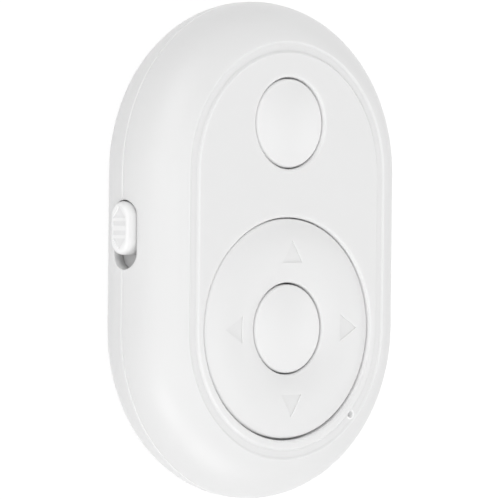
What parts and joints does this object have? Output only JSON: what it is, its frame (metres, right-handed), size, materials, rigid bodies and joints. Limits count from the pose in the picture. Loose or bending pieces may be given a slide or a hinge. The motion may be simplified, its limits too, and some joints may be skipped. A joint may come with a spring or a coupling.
{
  "type": "bluetooth selfie remote",
  "caption": "Pocket wireless camera remote: round-ended two-part case, round shutter button, tilting direction ring with centre button, side power switch, slide-off battery door.",
  "frame": {"origin": "middle of the flat rear face, on the surface that the remote lies on", "axes": "+Z out of the front face, +Y along the case towards the shutter button, +X to the right seen from the front; the power knob is on the -X side"},
  "size_m": [0.0434, 0.062, 0.0139],
  "materials": {
    "case_white": "fine satin texture",
    "button_white": "smooth satin",
    "silicone": "soft matt",
    "board_green": "solder mask",
    "chip_black": "moulded",
    "solder_parts": "ceramic",
    "steel": "brushed",
    "copper": "gold plated",
    "led_white": "clear resin",
    "light_pipe": "translucent",
    "gasket_grey": "matt",
    "spring_bronze": "plated",
    "screw_steel": "zinc plated",
    "switch_black": "moulded",
    "switch_button": "moulded"
  },
  "bodies": {
    "case": {"front_shell": "case_white", "rear_shell": "case_white", "circuit_board": "board_green", "slide_switch_housing": "steel", "radio_chip": "chip_black", "crystal": "steel", "passives": "solder_parts", "antenna": "copper", "indicator_led": "led_white", "indicator_light_pipe": "light_pipe", "coin_cell_can": "steel", "coin_cell_gasket": "gasket_grey", "coin_cell_cap": "steel", "negative_contact": "spring_bronze", "positive_contact": "spring_bronze", "case_screws": "screw_steel", "board_screws": "screw_steel", "shutter_switch_housing": "switch_black", "centre_switch_housing": "switch_black", "ring_up_switch_housing": "switch_black", "ring_up_switch_plunger": "switch_button", "ring_down_switch_housing": "switch_black", "ring_down_switch_plunger": "switch_button", "ring_left_switch_housing": "switch_black", "ring_left_switch_plunger": "switch_button", "ring_right_switch_housing": "switch_black", "ring_right_switch_plunger": "switch_button"},
    "shutter_button": {"shutter_button": "button_white", "shutter_switch_plunger": "switch_button"},
    "centre_button": {"centre_button": "button_white", "centre_switch_plunger": "switch_button"},
    "ring_pad": {"ring_silicone_pad": "silicone"},
    "direction_ring": {"direction_ring": "button_white"},
    "power_knob": {"power_knob": "button_white", "slide_switch_lever": "switch_black"},
    "battery_door": {"battery_door": "case_white"}
  },
  "joints": [
    {"name": "shutter_press", "type": "slide", "parent": "case", "child": "shutter_button", "axis": [0, 0, -1], "range_m": [0, 0.00025], "stiffness_N_per_m": 4000, "springref_m": -0.00001},
    {"name": "centre_press", "type": "slide", "parent": "case", "child": "centre_button", "axis": [0, 0, -1], "range_m": [0, 0.00025], "stiffness_N_per_m": 4000, "springref_m": -0.00001},
    {"name": "ring_tilt_up_down", "type": "hinge", "parent": "case", "child": "ring_pad", "pos_m": [0, -0.0096, 0.011], "axis": [1, 0, 0], "range_deg": [-1.2, 1.2], "stiffness_Nm_per_rad": 0.8, "deforming": ["ring_silicone_pad"]},
    {"name": "ring_tilt_left_right", "type": "hinge", "parent": "ring_pad", "child": "direction_ring", "pos_m": [0, -0.0096, 0.011], "axis": [0, 1, 0], "range_deg": [-1.2, 1.2], "stiffness_Nm_per_rad": 0.8, "deforming": ["ring_silicone_pad"]},
    {"name": "power_slide", "type": "slide", "parent": "case", "child": "power_knob", "axis": [0, -1, 0], "range_m": [0, 0.0016]},
    {"name": "door_slide", "type": "slide", "parent": "case", "child": "battery_door", "axis": [0, -1, 0], "range_m": [0, 0.032]}
  ]
}
